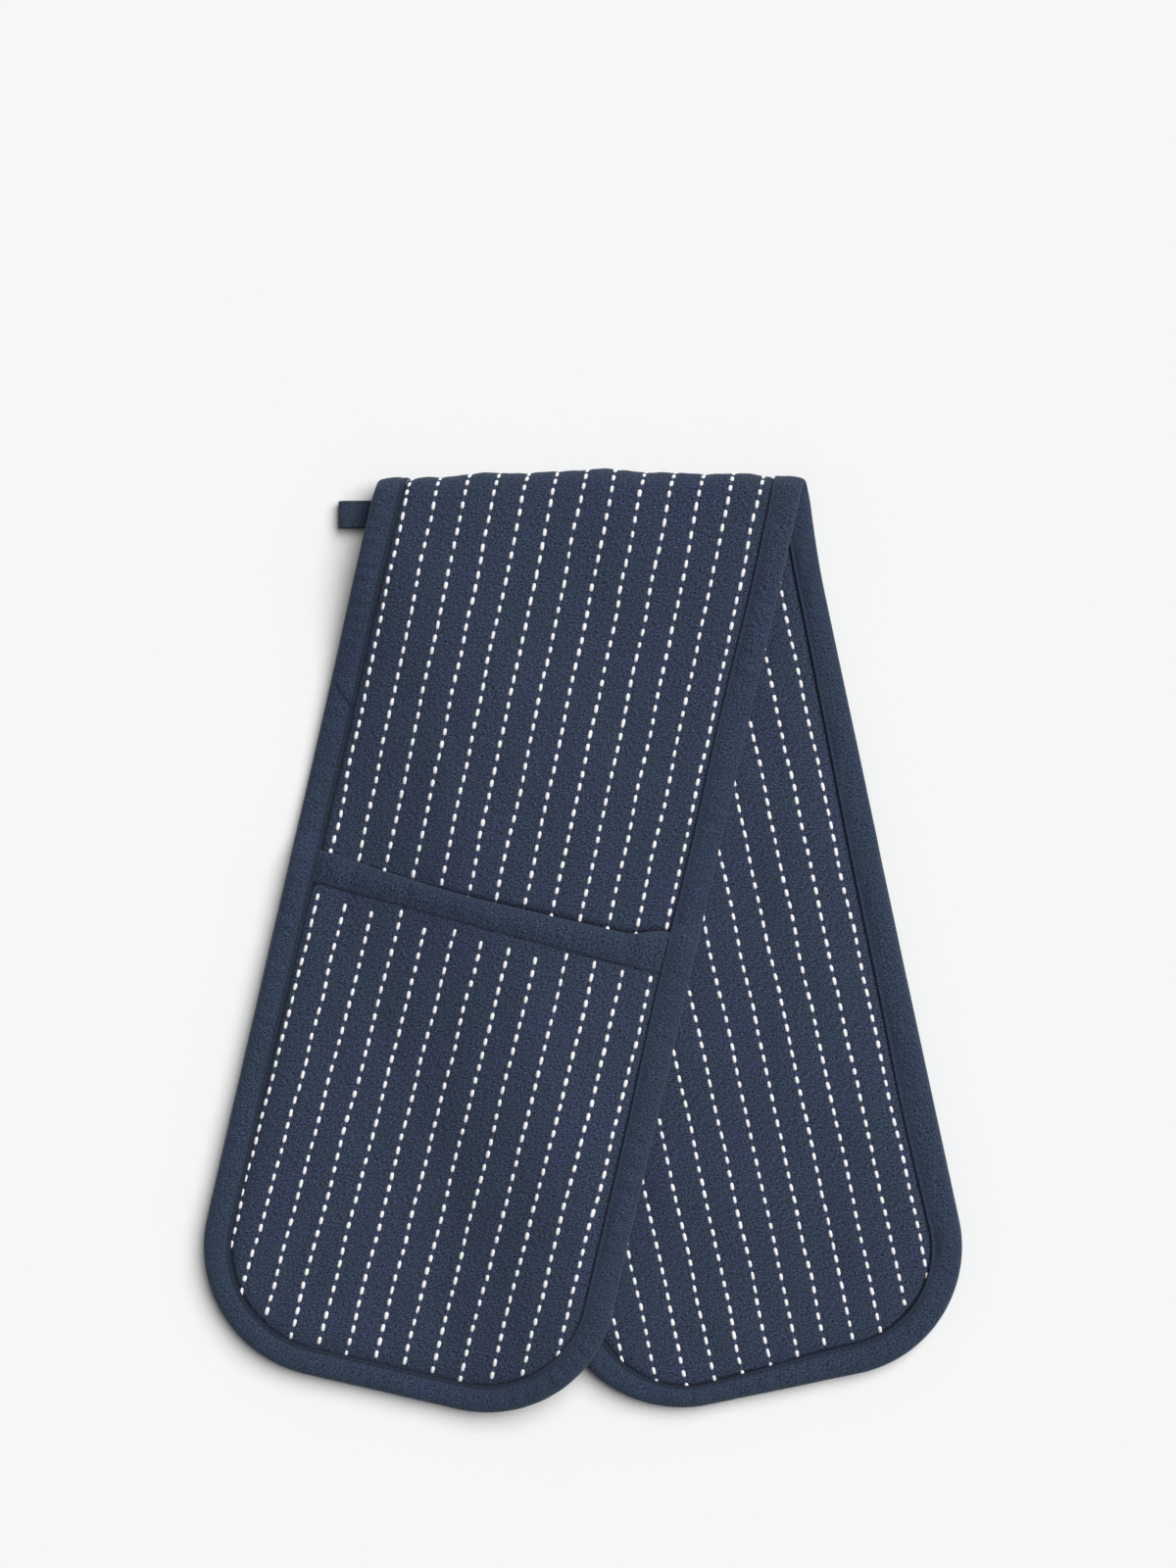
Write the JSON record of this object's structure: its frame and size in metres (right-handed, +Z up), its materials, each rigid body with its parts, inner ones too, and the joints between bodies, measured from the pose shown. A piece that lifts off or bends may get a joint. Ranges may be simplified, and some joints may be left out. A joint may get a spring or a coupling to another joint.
{
  "type": "double oven glove",
  "caption": "Padded double oven glove with a hand pocket at each end, stitched in stripes and bound all round, folded at its middle with the halves fanned.",
  "frame": {"origin": "centre of the plan, on the surface the glove lies on", "axes": "the glove lies flat on z = 0 with +Z up; the fold line runs along X at the +Y side, both halves run towards -Y, the lower half fanned towards +X and the upper half towards -X"},
  "size_m": [0.3392, 0.4159, 0.0287],
  "materials": {
    "stitched_cloth": "matte woven cotton with white running stitch stripes",
    "plain_binding": "matte plain woven bias tape",
    "plain_lining": "matte plain woven cotton",
    "sewn_seam": "pressed layers of cloth and wadding",
    "cotton_wadding": "soft felted wadding",
    "loop_tape": "matte folded cotton tape"
  },
  "bodies": {
    "hanging_loop": {"hanging_loop": "loop_tape"},
    "lower_half": {"lower_back_cloth": "stitched_cloth", "lower_edge_binding": "plain_binding", "lower_face_cloth": "stitched_cloth", "lower_fold_back_cloth": "stitched_cloth", "lower_fold_edge_binding": "plain_binding", "lower_fold_face_cloth": "stitched_cloth", "lower_fold_wadding": "cotton_wadding", "lower_pocket_seam": "sewn_seam", "lower_wadding": "cotton_wadding"},
    "lower_pocket": {"lower_pocket_cloth": "stitched_cloth", "lower_pocket_lining": "plain_lining", "lower_pocket_mouth_binding": "plain_binding", "lower_pocket_wadding": "cotton_wadding"},
    "upper_half": {"upper_back_cloth": "stitched_cloth", "upper_edge_binding": "plain_binding", "upper_face_cloth": "stitched_cloth", "upper_fold_back_cloth": "stitched_cloth", "upper_fold_edge_binding": "plain_binding", "upper_fold_face_cloth": "stitched_cloth", "upper_fold_wadding": "cotton_wadding", "upper_pocket_seam": "sewn_seam", "upper_wadding": "cotton_wadding"},
    "upper_pocket": {"upper_pocket_cloth": "stitched_cloth", "upper_pocket_lining": "plain_lining", "upper_pocket_mouth_binding": "plain_binding", "upper_pocket_wadding": "cotton_wadding"}
  },
  "joints": [
    {"name": "fold", "type": "hinge", "parent": "lower_half", "child": "upper_half", "pos_m": [0, 0.20801, 0.01], "axis": [-1, 0, 0], "range_deg": [0, 177]},
    {"name": "upper_pocket_mouth", "type": "hinge", "parent": "upper_half", "child": "upper_pocket", "pos_m": [-0.08776, -0.18539, 0.0178], "axis": [0.9767, -0.2147, 0], "range_deg": [0, 10]},
    {"name": "lower_pocket_mouth", "type": "hinge", "parent": "lower_half", "child": "lower_pocket", "pos_m": [0.08776, -0.18539, 0.0006], "axis": [-0.9767, -0.2147, 0], "range_deg": [0, 10]},
    {"name": "hanging_loop_swing", "type": "hinge", "parent": "lower_half", "child": "hanging_loop", "pos_m": [-0.08924, 0.19123, 0.0052], "axis": [-0.2147, 0.9767, 0], "range_deg": [0, 15]}
  ]
}
